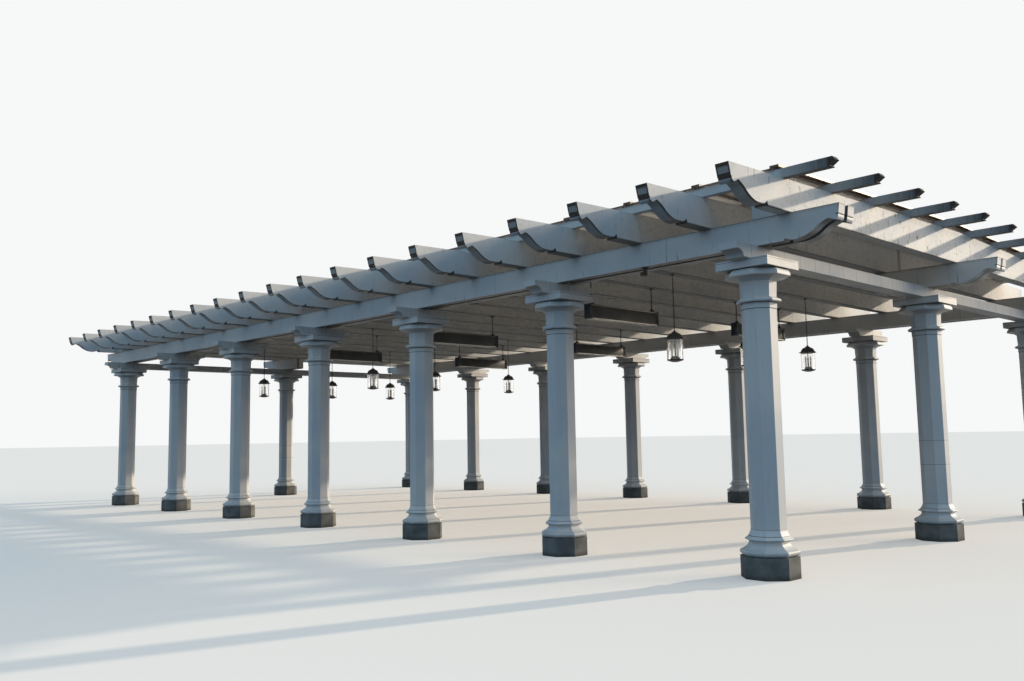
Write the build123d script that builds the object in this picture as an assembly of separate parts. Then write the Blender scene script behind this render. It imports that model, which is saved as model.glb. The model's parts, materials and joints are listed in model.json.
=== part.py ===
from build123d import *
import os
from math import atan, cos, degrees, hypot, radians

# Garden pergola, all sizes in millimetres.
# X runs along the length, Y from front to back, Z up. The origin is on the ground
# at the middle of the plan.

# Plan
BAY = 2700.0
BAYS = 6
ROW_GAP = 4000.0
LENGTH = BAY * BAYS

# Columns, octagonal, sizes across flats
COLUMN_HEIGHT = 3050.0
PLINTH_WIDTH = 520.0
PLINTH_HEIGHT = 205.0
BASE_FOOT_WIDTH = 496.0
BASE_HEIGHT = 250.0
SHAFT_WIDTH = 316.0
CAPITAL_HEIGHT = 384.0
CAPITAL_BAND_WIDTH = 326.0
CAPITAL_TOP_WIDTH = 494.0
ABACUS_WIDTH = 577.0
ABACUS_HEIGHT = 90.0

# Mouldings of the base and the capital, upwards from the foot. Each entry is a half
# width, a height above the foot and the bulge of the curve that ends there.
BASE_MOULDING = [
    (222.0, 96.0, 30.0),
    (176.0, 122.0, 0.0),
    (176.0, 140.0, 0.0),
    (198.0, 148.0, 0.0),
    (190.0, 200.0, 21.0),
    (182.0, 203.0, 0.0),
]
CAPITAL_MOULDING = [
    (163.0, 59.0, 0.0),
    (189.0, 60.0, 0.0),
    (187.0, 98.0, 15.0),
    (161.0, 113.0, 0.0),
    (168.0, 266.0, 0.0),
    (172.0, 269.0, 0.0),
    (292.0, 314.0, -13.0),
    (292.0, 320.0, 0.0),
]
ECHINUS_BULGE = 13.0

# Bolsters and end girders that lie across the columns
BOLSTER_WIDTH = 200.0
BOLSTER_HEIGHT = 132.0
BOLSTER_REACH = 505.0
BOLSTER_SPLAY = 125.0
BOLSTER_END_FACE = 64.0
BOLSTER_HOLLOW = 26.0

# Long beams, each two planks with a gap between
PLANK_WIDTH = 115.0
PLANK_GAP = 60.0
BEAM_DEPTH = 262.0
BEAM_REACH = 957.0
OUTRIGGER_INSET = 575.0
SPACER_LENGTH = 320.0
SPACER_HEIGHT = 200.0

# Rafters, deepest at the middle of the span
RAFTERS = 20
RAFTER_WIDTH = 140.0
RAFTER_REACH = 1172.0
RAFTER_OUTSET = 405.0
RAFTER_MIDDLE_DEPTH = 404.0
RAFTER_DEPTH_AT_BEAM = 318.0

# Scroll-cut ends, from the front face down and inwards. Each entry is a distance in
# from the tip, a height above the bottom edge and the bulge of the curve that ends there.
BEAM_SCROLL = [
    (11.0, 162.0, 0.0),
    (17.0, 162.0, 0.0),
    (31.0, 108.0, 8.0),
    (115.0, 138.0, 0.0),
    (228.0, 83.0, -6.0),
    (420.0, 0.0, 15.0),
    (557.0, 24.0, 12.0),
    (575.0, 0.0, 0.0),
]
RAFTER_SCROLL = [
    (33.0, 172.0, 0.0),
    (41.0, 172.0, 0.0),
    (80.0, 122.0, 12.0),
    (147.0, 157.0, 0.0),
    (282.0, 75.0, -7.0),
    (512.0, 0.0, 20.0),
    (615.0, 46.0, 14.0),
    (627.0, 0.0, 0.0),
]
PURLIN_SCROLL = [
    (0.0, 56.0, 0.0),
    (58.0, 20.0, 0.0),
    (44.0, 0.0, 0.0),
]
PURLIN_BEVEL = 24.0

# Purlins, and the roof sheets and their cover bars
PURLINS = 10
PURLIN_WIDTH = 90.0
PURLIN_DEPTH = 90.0
PURLIN_REACH = 1000.0
PURLIN_OUTSET = 223.0
SHEET_THICKNESS = 20.0
SHEET_GAP = 10.0
BAR_WIDTH = 97.0
BAR_THICKNESS = 24.0
EAVE_OVERHANG = 20.0

# Heaters that hang along three of the rafters, each on two rods. Each entry has the
# places across the span of one rafter's front and back heater. The drop is from the
# rafters' lower edge to the heaters' top.
HEATER_LENGTH = 1460.0
HEATER_WIDTH = 110.0
HEATER_HEIGHT = 205.0
HEATER_DROP = 334.0
HEATER_ROD_SPACING = 1290.0
HEATER_YS = [(-2230.0, 1235.0), (-2045.0, 1395.0), (-1940.0, 1525.0)]
ROD_DIAMETER = 16.0

# Lanterns that hang under three other rafters, each on one rod, with the places of one
# rafter's lanterns in each entry. The drop is down to the lanterns' underside.
LANTERN_YS = [(-2285.0, -560.0, 1140.0), (-2015.0, -525.0, 1490.0), (-2335.0, -645.0, 965.0)]
LANTERN_DROP = 1146.0
TRAY_WIDTH = 214.0
TRAY_HEIGHT = 34.0
GLASS_WIDTH = 204.0
GLASS_HEIGHT = 252.0
CAP_WIDTH = 244.0
CAP_RIM = 14.0
CAP_HEIGHT = 122.0
CAP_COLLAR_WIDTH = 40.0
CAP_COLLAR_HEIGHT = 22.0

# Places worked out from the sizes above
GIRDER_TOP = COLUMN_HEIGHT + BOLSTER_HEIGHT
BEAM_TOP = GIRDER_TOP + BEAM_DEPTH
BEAM_WIDTH = 2 * PLANK_WIDTH + PLANK_GAP
ABACUS_BOTTOM = COLUMN_HEIGHT - ABACUS_HEIGHT
SHAFT_TOP = ABACUS_BOTTOM - CAPITAL_HEIGHT
BASE_TOP = PLINTH_HEIGHT + BASE_HEIGHT
HEATER_TOP = BEAM_TOP - HEATER_DROP
LANTERN_BOTTOM = BEAM_TOP - LANTERN_DROP
ROOF_SLOPE = (RAFTER_MIDDLE_DEPTH - RAFTER_DEPTH_AT_BEAM) / ROW_GAP
ROOF_ANGLE = degrees(atan(ROOF_SLOPE))
RAFTER_TIP = ROW_GAP + RAFTER_REACH
RAFTER_SPACING = (LENGTH + 2 * RAFTER_OUTSET) / (RAFTERS - 1)
PURLIN_SPACING = 2 * (ROW_GAP + PURLIN_OUTSET) / (PURLINS - 1)
COLUMN_XS = [(i - BAYS / 2) * BAY for i in range(BAYS + 1)]
RAFTER_XS = [LENGTH / 2 + RAFTER_OUTSET - i * RAFTER_SPACING for i in range(RAFTERS)]
PURLIN_YS = [-ROW_GAP - PURLIN_OUTSET + i * PURLIN_SPACING for i in range(PURLINS)]

os.makedirs("parts", exist_ok=True)


def save(name, pieces):
    """Writes one named piece, or a row of like pieces that don't touch."""
    export_step(Compound(children=list(pieces)), f"parts/{name}.step")


def copies(piece, places):
    return [piece.moved(Location(place)) for place in places]


def draw(start, entries, place):
    """Draws lines and curves from the start; the material lies to the left of the path."""
    a = start
    for across, up, bulge in entries:
        b = (across, up)
        if bulge:
            chord = hypot(b[0] - a[0], b[1] - a[1])
            middle = ((a[0] + b[0]) / 2 + bulge * (b[1] - a[1]) / chord,
                      (a[1] + b[1]) / 2 - bulge * (b[0] - a[0]) / chord)
            ThreePointArc(place(*a), place(*middle), place(*b))
        else:
            Line(place(*a), place(*b))
        a = b


# Columns

def octagon_prism(width, height):
    side = RegularPolygon(width / 2, 8, major_radius=False, rotation=22.5)
    return extrude(side, height)


def octagon_turning(start, entries):
    """A moulded block with eight flat sides, from half of its section."""
    top = entries[-1][1]
    with BuildLine() as line:
        for side in (1, -1):
            draw(start, entries, lambda across, up: (side * across, up))
            Line((0, 0), (side * start[0], 0))
            Line((side * entries[-1][0], top), (0, top))
    section = Plane.XZ * make_face(line.line)
    widest = max(start[0], *(entry[0] + abs(entry[2]) for entry in entries))
    block = None
    for turn in range(4):
        slab = Rot(0, 0, 45 * turn) * extrude(section, 2 * widest, both=True)
        block = slab if block is None else block & slab
    return block.solid()


base_entries = BASE_MOULDING + [(SHAFT_WIDTH / 2, BASE_HEIGHT, 0)]
capital_entries = CAPITAL_MOULDING + [(CAPITAL_TOP_WIDTH / 2, CAPITAL_HEIGHT, ECHINUS_BULGE)]

plinth = octagon_prism(PLINTH_WIDTH, PLINTH_HEIGHT)
base = Pos(0, 0, PLINTH_HEIGHT) * octagon_turning((BASE_FOOT_WIDTH / 2, 0), base_entries)
shaft = Pos(0, 0, BASE_TOP) * octagon_prism(SHAFT_WIDTH, SHAFT_TOP - BASE_TOP)
capital = Pos(0, 0, SHAFT_TOP) * octagon_turning((CAPITAL_BAND_WIDTH / 2, 0), capital_entries)
abacus = Pos(0, 0, ABACUS_BOTTOM + ABACUS_HEIGHT / 2) * Box(ABACUS_WIDTH, ABACUS_WIDTH, ABACUS_HEIGHT)

front_places = [(x, -ROW_GAP, 0) for x in COLUMN_XS]
back_places = [(x, ROW_GAP, 0) for x in COLUMN_XS]
end_places = [(COLUMN_XS[0], 0, 0), (COLUMN_XS[-1], 0, 0)]
rows = {"front": front_places, "back": back_places, "end": end_places}
for row, places in rows.items():
    save(f"{row}_plinths", copies(plinth, places))
    save(f"{row}_bases", copies(base, places))
    save(f"{row}_shafts", copies(shaft, places))
    save(f"{row}_capitals", copies(capital, places))
    save(f"{row}_abaci", copies(abacus, places))


# Bolsters over the inner columns, and girders over each end's three columns

def splayed_timber(half_length):
    """Timber along Y with both ends cut back below in a hollow curve."""
    cut_top = BOLSTER_HEIGHT - BOLSTER_END_FACE
    with BuildLine() as line:
        for side in (1, -1):
            draw((0, BOLSTER_HEIGHT), [(half_length, BOLSTER_HEIGHT, 0), (half_length, cut_top, 0),
                                       (half_length - BOLSTER_SPLAY, 0, BOLSTER_HOLLOW), (0, 0, 0)],
                 lambda along, up: (side * along, up))
    return extrude(Plane.YZ * make_face(line.line), BOLSTER_WIDTH / 2, both=True)


bolster = Pos(0, 0, COLUMN_HEIGHT) * splayed_timber(BOLSTER_REACH)
girder = Pos(0, 0, COLUMN_HEIGHT) * splayed_timber(ROW_GAP + BOLSTER_REACH)
save("front_bolsters", copies(bolster, front_places[1:-1]))
save("back_bolsters", copies(bolster, back_places[1:-1]))
save("left_girder", copies(girder, end_places[:1]))
save("right_girder", copies(girder, end_places[1:]))


# Timbers with scroll-cut ends

def scrolled_timber(plane, tip, tip_depth, middle_depth, entries, width):
    """Timber with a level bottom edge, the same scroll at both ends and a ridge in the middle."""
    with BuildLine() as line:
        for side in (1, -1):
            Line((0, middle_depth), (side * tip, tip_depth))
            draw((0, tip_depth), entries, lambda inset, up: (side * (tip - inset), up))
            Line((side * (tip - entries[-1][0]), 0), (0, 0))
    return extrude(plane * make_face(line.line), width / 2, both=True)


# Long beams, and the outriggers over the middle column of each end

plank = scrolled_timber(Plane.XZ, LENGTH / 2 + BEAM_REACH, BEAM_DEPTH, BEAM_DEPTH, BEAM_SCROLL, PLANK_WIDTH)
side = (PLANK_WIDTH + PLANK_GAP) / 2
beam_planks = copies(plank, [(0, -side, GIRDER_TOP), (0, side, GIRDER_TOP)])
save("front_beam", [piece.moved(Location((0, -ROW_GAP, 0))) for piece in beam_planks])
save("back_beam", [piece.moved(Location((0, ROW_GAP, 0))) for piece in beam_planks])

inner_end = LENGTH / 2 - OUTRIGGER_INSET
right_end = Pos(inner_end + LENGTH / 2, 0, GIRDER_TOP + BEAM_DEPTH / 2) * Box(LENGTH, BEAM_WIDTH, BEAM_DEPTH)
right_outrigger = [(piece & right_end).solid() for piece in beam_planks]
save("right_outrigger", right_outrigger)
save("left_outrigger", [mirror(piece, Plane.YZ) for piece in right_outrigger])

spacer = Box(SPACER_LENGTH, PLANK_GAP, SPACER_HEIGHT)
spacer_z = GIRDER_TOP + SPACER_HEIGHT / 2
spacer_places = [(x, y, spacer_z) for x in COLUMN_XS for y in (-ROW_GAP, ROW_GAP)]
spacer_places += [(x, 0, spacer_z) for x in (COLUMN_XS[0], COLUMN_XS[-1])]
save("beam_spacers", copies(spacer, spacer_places))


# Rafters

rafter_tip_depth = RAFTER_MIDDLE_DEPTH - ROOF_SLOPE * RAFTER_TIP
rafter = Pos(0, 0, BEAM_TOP) * scrolled_timber(
    Plane.YZ, RAFTER_TIP, rafter_tip_depth, RAFTER_MIDDLE_DEPTH, RAFTER_SCROLL, RAFTER_WIDTH)
per_bay = (RAFTERS - 2) // BAYS
save("end_rafters", copies(rafter, [(RAFTER_XS[0], 0, 0), (RAFTER_XS[-1], 0, 0)]))
for bay in range(BAYS):
    first = 1 + bay * per_bay
    xs = RAFTER_XS[first:first + per_bay]
    save(f"rafters_bay_{bay + 1}", copies(rafter, [(x, 0, 0) for x in xs]))


# Purlins across the rafters

def roof_height(y, lift):
    """Height of a line that lies the given lift above the rafters' sloping tops."""
    return BEAM_TOP + RAFTER_MIDDLE_DEPTH - ROOF_SLOPE * abs(y) + lift / cos(radians(ROOF_ANGLE))


def purlin():
    """Purlin with a small pointed scroll at each end; its underside is at zero."""
    tip = LENGTH / 2 + PURLIN_REACH
    with BuildLine() as line:
        for side in (1, -1):
            Line((0, PURLIN_DEPTH), (side * (tip - PURLIN_BEVEL), PURLIN_DEPTH))
            draw((PURLIN_BEVEL, PURLIN_DEPTH), PURLIN_SCROLL, lambda inset, up: (side * (tip - inset), up))
            Line((side * (tip - PURLIN_SCROLL[-1][0]), 0), (0, 0))
    return extrude(Plane.XZ * make_face(line.line), PURLIN_WIDTH / 2, both=True)


def lie_on_roof(piece, y):
    """Turns a level piece to the slope and seats its underside on the rafters at y."""
    turn = -ROOF_ANGLE if y > 0 else ROOF_ANGLE
    return Pos(0, y, roof_height(y, 0)) * Rot(turn, 0, 0) * piece


purlin_piece = purlin()
seated = [lie_on_roof(purlin_piece, y) for y in PURLIN_YS]
save("front_purlins", seated[:PURLINS // 2])
save("back_purlins", seated[PURLINS // 2:])


# Roof sheets between the rafters' lines, and the bars that cover their joints

EAVE = ROW_GAP + PURLIN_OUTSET + PURLIN_WIDTH / 2 + EAVE_OVERHANG


def roof_strip(width, lift, thickness):
    """Flat strip from the front eave up to the ridge, cut upright at both ends."""
    under = [(-EAVE, roof_height(EAVE, lift)), (0, roof_height(0, lift))]
    over = [(0, roof_height(0, lift + thickness)), (-EAVE, roof_height(EAVE, lift + thickness))]
    return extrude(Plane.YZ * Polygon(*under, *over, align=None), width / 2, both=True)


sheet_xs = [(a + b) / 2 for a, b in zip(RAFTER_XS, RAFTER_XS[1:])]
front_sheets = copies(roof_strip(RAFTER_SPACING - SHEET_GAP, PURLIN_DEPTH, SHEET_THICKNESS),
                      [(x, 0, 0) for x in sheet_xs])
front_bars = copies(roof_strip(BAR_WIDTH, PURLIN_DEPTH + SHEET_THICKNESS, BAR_THICKNESS),
                    [(x, 0, 0) for x in RAFTER_XS])
for name, pieces in (("roof_sheets", front_sheets), ("cover_bars", front_bars)):
    save(f"front_{name}", pieces)
    save(f"back_{name}", [mirror(piece, Plane.XZ) for piece in pieces])


# Heaters on pairs of rods

def rod(low, high):
    return Pos(0, 0, low) * extrude(RegularPolygon(ROD_DIAMETER / 2, 6), high - low)


heater_places = [(RAFTER_XS[number], y, 0) for number, ys in zip((4, 8, 12), HEATER_YS) for y in ys]
heater_z = HEATER_TOP - HEATER_HEIGHT / 2
heater_case = Pos(0, 0, heater_z) * Box(HEATER_WIDTH, HEATER_LENGTH, HEATER_HEIGHT)
heater_rod = rod(HEATER_TOP, BEAM_TOP)
save("heaters", copies(heater_case, heater_places))
save("heater_rods", copies(heater_rod, [(x, y + half * HEATER_ROD_SPACING / 2, 0)
                                        for x, y, _ in heater_places for half in (-1, 1)]))


# Lanterns, each on one rod

def lantern_cap():
    """Low cone with a rim below and a collar for the rod on top."""
    slope = CAP_HEIGHT - CAP_COLLAR_HEIGHT
    section = Polygon((0, 0), (CAP_WIDTH / 2, 0), (CAP_WIDTH / 2, CAP_RIM),
                      (CAP_COLLAR_WIDTH / 2, slope), (CAP_COLLAR_WIDTH / 2, CAP_HEIGHT),
                      (0, CAP_HEIGHT), align=None)
    return revolve(Plane.XZ * section, Axis.Z)


lantern_places = [(RAFTER_XS[number], y, 0) for number, ys in zip((3, 11, 15), LANTERN_YS) for y in ys]
glass_bottom = LANTERN_BOTTOM + TRAY_HEIGHT
cap_bottom = glass_bottom + GLASS_HEIGHT
cap = Pos(0, 0, cap_bottom) * lantern_cap()
glass = Pos(0, 0, glass_bottom + GLASS_HEIGHT / 2) * Cylinder(GLASS_WIDTH / 2, GLASS_HEIGHT)
tray = Pos(0, 0, LANTERN_BOTTOM + TRAY_HEIGHT / 2) * Cylinder(TRAY_WIDTH / 2, TRAY_HEIGHT)
save("lantern_caps", copies(cap, lantern_places))
save("lantern_glasses", copies(glass, lantern_places))
save("lantern_trays", copies(tray, lantern_places))
save("lantern_rods", copies(rod(cap_bottom + CAP_HEIGHT, BEAM_TOP), lantern_places))
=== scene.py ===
import json
import math

import bmesh
import bpy
from mathutils import Matrix, Vector

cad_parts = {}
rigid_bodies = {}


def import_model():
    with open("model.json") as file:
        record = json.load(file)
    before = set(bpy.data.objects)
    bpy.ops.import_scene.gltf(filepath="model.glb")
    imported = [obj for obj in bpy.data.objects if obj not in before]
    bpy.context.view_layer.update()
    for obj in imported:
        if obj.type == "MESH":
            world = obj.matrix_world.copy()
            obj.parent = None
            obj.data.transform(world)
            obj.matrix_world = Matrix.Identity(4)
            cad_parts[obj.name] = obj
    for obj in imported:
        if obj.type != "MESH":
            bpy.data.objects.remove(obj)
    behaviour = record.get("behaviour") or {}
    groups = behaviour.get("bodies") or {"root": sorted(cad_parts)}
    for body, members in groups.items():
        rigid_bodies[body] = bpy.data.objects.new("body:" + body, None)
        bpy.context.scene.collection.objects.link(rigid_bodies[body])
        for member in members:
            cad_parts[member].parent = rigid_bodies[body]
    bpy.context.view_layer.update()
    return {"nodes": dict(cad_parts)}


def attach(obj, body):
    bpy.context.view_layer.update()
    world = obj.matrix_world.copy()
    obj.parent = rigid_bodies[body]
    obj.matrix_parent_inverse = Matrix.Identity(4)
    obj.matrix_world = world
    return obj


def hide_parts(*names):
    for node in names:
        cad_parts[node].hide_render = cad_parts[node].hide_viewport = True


# Garden pergola: sixteen octagonal white columns on stone plinths carry twin-plank
# beams, scroll-cut rafters and purlins under bronze roof sheets. Metres, Z up.

for leftover in list(bpy.data.objects):
    bpy.data.objects.remove(leftover)
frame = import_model()


# Stone plinths: sawn grey sandstone octagons, one under each column. The faces are
# rubbed smooth with a fine grit, and damp darkens them along their feet.

def linear(hex_code):
    """Turns an sRGB hex colour into the linear colour that Blender works in."""
    channels = [int(hex_code[i:i + 2], 16) / 255 for i in (1, 3, 5)]
    return [c / 12.92 if c <= 0.04045 else ((c + 0.055) / 1.055) ** 2.4 for c in channels] + [1.0]


def add(owner, kind, settings, inputs, output=None):
    """Adds a shader node with plain values or links; gives the node, or one of its outputs."""
    made = owner.node_tree.nodes.new("ShaderNode" + kind)
    for name, value in settings.items():
        setattr(made, name, value)
    for name, value in inputs.items():
        if isinstance(value, bpy.types.NodeSocket):
            owner.node_tree.links.new(value, made.inputs[name])
        else:
            made.inputs[name].default_value = value
    return made if output is None else made.outputs[output]


def new_material(name, roughness, metallic=0.0, sheen=0.5):
    material = bpy.data.materials.new(name)
    material.use_nodes = True
    surface = material.node_tree.nodes["Principled BSDF"]
    surface.inputs["Roughness"].default_value = roughness
    surface.inputs["Metallic"].default_value = metallic
    surface.inputs["Specular IOR Level"].default_value = sheen
    return material


def surface_takes(material, **sockets):
    """Links sockets to the inputs of the surface that have their names."""
    surface = material.node_tree.nodes["Principled BSDF"]
    for name, socket in sockets.items():
        material.node_tree.links.new(socket, surface.inputs[name.replace("_", " ")])


def coat(material, *names):
    """Gives carried-over pieces their material."""
    for name in names:
        mesh = frame["nodes"][name].data
        mesh.materials.clear()
        mesh.materials.append(material)


COLOURS = {"data_type": "RGBA"}
SMOOTH = {"interpolation_type": "SMOOTHSTEP"}

# Sandstone is dull. Its grit is about 1 mm and is drawn at 6 mm, so that it shows.
stone = new_material("Rubbed grey sandstone", 0.88, sheen=0.2)
place = add(stone, "TexCoord", {}, {}, "Object")
height = add(stone, "SeparateXYZ", {}, {"Vector": place}, "Z")
grit = add(stone, "TexNoise", {}, {"Vector": place, "Scale": 160.0, "Detail": 4.0}, 0)
cloud = add(stone, "TexNoise", {}, {"Vector": place, "Scale": 5.0, "Detail": 6.0}, 0)
clouded = add(stone, "MapRange", SMOOTH, {"Value": cloud, "From Min": 0.36, "From Max": 0.66}, 0)
tone = add(stone, "Mix", COLOURS, {0: clouded, 6: linear("#6A6A67"), 7: linear("#868580")}, 2)
speck = add(stone, "MapRange", SMOOTH,
            {"Value": grit, "From Min": 0.55, "From Max": 0.72, "To Max": 0.5}, 0)
tone = add(stone, "Mix", COLOURS, {0: speck, 6: tone, 7: linear("#4E4E4A")}, 2)
damp = add(stone, "MapRange", SMOOTH,
           {"Value": height, "From Min": 0.07, "From Max": 0.0, "To Max": 0.75}, 0)
tone = add(stone, "Mix", COLOURS, {0: damp, 6: tone, 7: linear("#45453F")}, 2)
bump = add(stone, "Bump", {}, {"Strength": 0.4, "Distance": 0.003, "Height": grit}, 0)
surface_takes(stone, Base_Color=tone, Normal=bump)
coat(stone, "front_plinths", "back_plinths", "end_plinths")


# Column casings, bases, capitals and abaci: softwood staves and mouldings, glued up,
# filled and painted white. The paint is satin over a faint grain that runs upwards.

# The grain under the paint is about 5 mm wide and rain runs are about 10 mm. They are
# drawn at 30 mm and 25 mm, to show.
# The near-black colour serves mildew and dark joints, and also painted shade in gaps, recesses and
# undersides.
PAINT, PAINT_COOL, GRIME, SOOT_AND_SHADE = "#DCDBD7", "#CDD0D2", "#77746A", "#1B1C1D"


def painted_timber(name, grain, marks=(), dullness=(0.46, 0.68)):
    """White paint on softwood whose grain runs along X, Y or Z.

    Each mark is a function that gives a factor and a colour to lay over the paint,
    from the material, the place and the normal.
    """
    paint = new_material(name, 0.6, sheen=0.35)
    place = add(paint, "TexCoord", {}, {}, "Object")
    along = {"X": (0.3, 9.0, 9.0), "Y": (9.0, 0.3, 9.0), "Z": (9.0, 9.0, 0.3)}[grain]
    drawn = add(paint, "Mapping", {}, {"Vector": place, "Scale": along}, 0)
    fibre = add(paint, "TexNoise", {},
                {"Vector": drawn, "Scale": 3.5, "Detail": 8.0, "Roughness": 0.7}, 0)
    cloud = add(paint, "TexNoise", {}, {"Vector": place, "Scale": 1.1, "Detail": 5.0}, 0)
    runs = add(paint, "Mapping", {}, {"Vector": place, "Scale": (16.0, 16.0, 1.0)}, 0)
    run = add(paint, "TexNoise", {}, {"Vector": runs, "Scale": 2.4, "Detail": 5.0}, 0)
    cool = add(paint, "MapRange", SMOOTH, {"Value": cloud, "From Min": 0.4, "From Max": 0.65}, 0)
    tone = add(paint, "Mix", COLOURS, {0: cool, 6: linear(PAINT), 7: linear(PAINT_COOL)}, 2)
    worn = add(paint, "MapRange", SMOOTH,
               {"Value": fibre, "From Min": 0.6, "From Max": 0.8, "To Max": 0.22}, 0)
    tone = add(paint, "Mix", COLOURS, {0: worn, 6: tone, 7: linear(GRIME)}, 2)
    stain = add(paint, "MapRange", SMOOTH,
                {"Value": run, "From Min": 0.58, "From Max": 0.8, "To Max": 0.16}, 0)
    tone = add(paint, "Mix", COLOURS, {0: stain, 6: tone, 7: linear(GRIME)}, 2)
    at = add(paint, "SeparateXYZ", {}, {"Vector": place}).outputs
    facing = add(paint, "NewGeometry", {}, {}, "Normal")
    normal = add(paint, "SeparateXYZ", {}, {"Vector": facing}).outputs
    for mark in marks:
        factor, colour = mark(paint, at, normal, run)
        tone = add(paint, "Mix", COLOURS, {0: factor, 6: tone, 7: linear(colour)}, 2)
    dull = add(paint, "MapRange", {}, {"Value": cloud, "To Min": dullness[0], "To Max": dullness[1]}, 0)
    bump = add(paint, "Bump", {}, {"Strength": 0.3, "Distance": 0.002, "Height": fibre}, 0)
    surface_takes(paint, Base_Color=tone, Roughness=dull, Normal=bump)
    return paint


# What a Math node works out.
UNSIGNED, MINUS = {"operation": "ABSOLUTE"}, {"operation": "SUBTRACT"}
TIMES, TIMES_CAPPED = {"operation": "MULTIPLY"}, {"operation": "MULTIPLY", "use_clamp": True}
LARGER, NEAR = {"operation": "MAXIMUM"}, {"operation": "COMPARE"}


def line_at(paint, distance, half_width, strength):
    """A dark line where the distance from it, a signed length in metres, is nearly zero."""
    away = add(paint, "Math", UNSIGNED, {0: distance}, 0)
    core = half_width * 0.3
    return add(paint, "MapRange", SMOOTH,
               {"Value": away, "From Min": half_width, "From Max": core, "To Max": strength}, 0)


# Height and half width of each painted shadow gap, from the base's foot to the abacus.
COLUMN_GAPS = [(0.205, 0.010), (0.3935, 0.005), (0.455, 0.003), (2.576, 0.006), (2.634, 0.007),
               (2.960, 0.006), (3.034, 0.004)]
RING_HEIGHTS = (0.94, 1.24)


def column_gap_shade(paint, at, normal, run):
    """Painted shadow in the gaps where mouldings meet the shaft, and two thin dark rings on the middle
    columns.
    """
    factor = 0.0
    for height, half_width in COLUMN_GAPS:
        off = add(paint, "Math", MINUS, {0: at["Z"], 1: height}, 0)
        factor = add(paint, "Math", LARGER, {0: line_at(paint, off, half_width, 0.75), 1: factor}, 0)
    middle = add(paint, "Math", NEAR, {0: at["Y"], 1: 0.0, 2: 0.5}, 0)
    for height in RING_HEIGHTS:
        off = add(paint, "Math", MINUS, {0: at["Z"], 1: height}, 0)
        ring = add(paint, "Math", TIMES, {0: line_at(paint, off, 0.006, 0.45), 1: middle}, 0)
        factor = add(paint, "Math", LARGER, {0: ring, 1: factor}, 0)
    return factor, SOOT_AND_SHADE


def splashed_foot(paint, at, normal, run):
    """Rain splash greys the mouldings just above the plinth."""
    low = add(paint, "MapRange", SMOOTH,
              {"Value": at["Z"], "From Min": 0.5, "From Max": 0.2, "To Max": 0.2}, 0)
    return add(paint, "Math", TIMES, {0: low, 1: run}, 0), GRIME


def settled_dust(paint, at, normal, run):
    """Dust and algae on faces that look up."""
    flat = add(paint, "MapRange", SMOOTH,
               {"Value": normal["Z"], "From Min": 0.8, "From Max": 0.98, "To Max": 1.3}, 0)
    return add(paint, "Math", TIMES_CAPPED, {0: flat, 1: run}, 0), GRIME


def spun(shape, section, steps=28, foot=(0.0, 0.0, 0.0), turned=0.0):
    """Turns a section of (radius, height) points round an upright axis through its foot."""
    start = Matrix.Rotation(math.radians(turned), 3, "Z")
    points = [shape.verts.new(start @ Vector((radius, 0.0, height)) + Vector(foot))
              for radius, height in section]
    edges = [shape.edges.new(pair) for pair in zip(points, points[1:])]
    bmesh.ops.spin(shape, geom=points + edges, cent=foot, axis=(0, 0, 1), angle=2 * math.pi,
                   steps=steps, use_merge=True, use_duplicate=False)
    bmesh.ops.remove_doubles(shape, verts=shape.verts[:], dist=1e-5)


def repeat(shape, places):
    """Copies the whole shape to each place and leaves nothing at the middle."""
    original = shape.verts[:] + shape.edges[:] + shape.faces[:]
    for place in places:
        copied = bmesh.ops.duplicate(shape, geom=original)["geom"]
        moved = [item for item in copied if isinstance(item, bmesh.types.BMVert)]
        bmesh.ops.translate(shape, verts=moved, vec=place)
    bmesh.ops.delete(shape, geom=[item for item in original if isinstance(item, bmesh.types.BMVert)],
                     context="VERTS")


def finish(name, shape, material, smooth=None):
    """Makes the shape a piece of the pergola, shaded smooth below an angle if one is given."""
    bmesh.ops.recalc_face_normals(shape, faces=shape.faces)
    mesh = bpy.data.meshes.new(name)
    shape.to_mesh(mesh)
    shape.free()
    mesh.materials.append(material)
    made = bpy.data.objects.new(name, mesh)
    bpy.context.scene.collection.objects.link(made)
    if smooth is not None:
        mesh.shade_smooth()
        mesh.set_sharp_from_angle(angle=math.radians(smooth))
    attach(made, "root")
    return made


column_paint = painted_timber("White paint on column casings", "Z",
                              [splashed_foot, settled_dust, column_gap_shade])
for row in ("front", "back", "end"):
    coat(column_paint, f"{row}_shafts", f"{row}_capitals", f"{row}_abaci")

# Each base is run from one board section, mitred eight times: a pointed foot that slopes
# in to a neck, and a thin pointed ring that sweeps up to the shaft.
BASE_BOTTOM, BAY, ROW_GAP = 0.205, 2.7, 4.0
BASE_SECTION = [(0.0, 0.0), (0.228, 0.0), (0.234, 0.008), (0.248, 0.012), (0.259, 0.025), (0.262, 0.042),
                (0.257, 0.055), (0.234, 0.068), (0.210, 0.083), (0.192, 0.099), (0.182, 0.114),
                (0.178, 0.126), (0.178, 0.139), (0.196, 0.147), (0.211, 0.153), (0.214, 0.159),
                (0.209, 0.166), (0.193, 0.176), (0.181, 0.190), (0.173, 0.206), (0.162, 0.232),
                (0.158, 0.250), (0.0, 0.250)]
column_xs = [(number - 3) * BAY for number in range(7)]
column_rows = {"front": [(x, -ROW_GAP, BASE_BOTTOM) for x in column_xs],
               "back": [(x, ROW_GAP, BASE_BOTTOM) for x in column_xs],
               "end": [(x, 0.0, BASE_BOTTOM) for x in (column_xs[0], column_xs[-1])]}
corner = math.cos(math.radians(22.5))
for row, places in column_rows.items():
    shape = bmesh.new()
    spun(shape, [(half / corner, height) for half, height in BASE_SECTION], 8, turned=22.5)
    repeat(shape, places)
    moulded = finish(f"{row}_moulded_bases", shape, column_paint)
    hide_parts(f"{row}_bases")


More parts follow.
